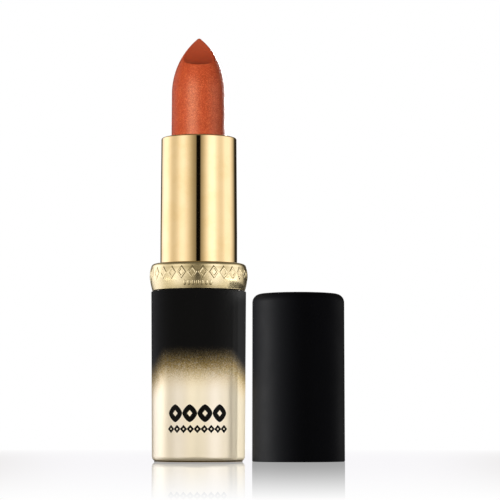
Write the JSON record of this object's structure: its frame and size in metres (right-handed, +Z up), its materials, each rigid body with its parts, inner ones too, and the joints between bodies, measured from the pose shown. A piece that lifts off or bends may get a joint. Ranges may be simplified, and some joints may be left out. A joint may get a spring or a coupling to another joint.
{
  "type": "lipstick case",
  "caption": "Round twist-up lipstick case, open with the pointed stick wound up and its straight cap standing beside it.",
  "frame": {"origin": "centre of the case's flat foot, on the surface that it stands on", "axes": "+Z up along the case, +X from the case to the cap that stands beside it, -Y the side of the stick's hollow facet"},
  "size_m": [0.042, 0.0212, 0.0915],
  "materials": {
    "fade_lacquer": "satin black lacquer that fades through a fine speckle to champagne gold towards the foot",
    "polished_gold": "polished, anodised pale gold",
    "black_lacquer": "soft satin black",
    "stick_wax": "satin terracotta wax with a fine shimmer",
    "moulded_ivory": "smooth moulding",
    "moulded_black": "fine moulded texture",
    "slug_steel": "turned and zinc plated",
    "silicone": "silk matt",
    "printed_label": "printed film"
  },
  "bodies": {
    "base": {"base_shell": "fade_lacquer", "base_liner": "moulded_black", "base_weight": "slug_steel", "shade_label": "printed_label", "guide_tube": "moulded_black", "drag_ring": "silicone"},
    "upper_case": {"outer_tube": "polished_gold", "collar": "polished_gold", "collar_core": "moulded_black", "spiral_sleeve": "moulded_ivory"},
    "carrier": {"lipstick_cup": "moulded_ivory", "lipstick": "stick_wax"},
    "cap": {"cap_shell": "black_lacquer", "cap_liner": "moulded_black", "cap_weight": "slug_steel"}
  },
  "joints": [
    {"name": "twist", "type": "hinge", "parent": "base", "child": "upper_case", "pos_m": [0, 0, 0.0393], "axis": [0, 0, 1], "range_deg": [-27, 423]},
    {"name": "stick_slide", "type": "slide", "parent": "base", "child": "carrier", "axis": [0, 0, 1], "range_m": [-0.0235, 0.0015]},
    {"name": "cap_lift", "type": "slide", "parent": "base", "child": "cap", "axis": [0, 0, 1], "range_m": [0, 0.1]}
  ],
  "couplings": [
    {"joint": "stick_slide", "follows": "twist", "m_per_rad": -0.0031831}
  ]
}
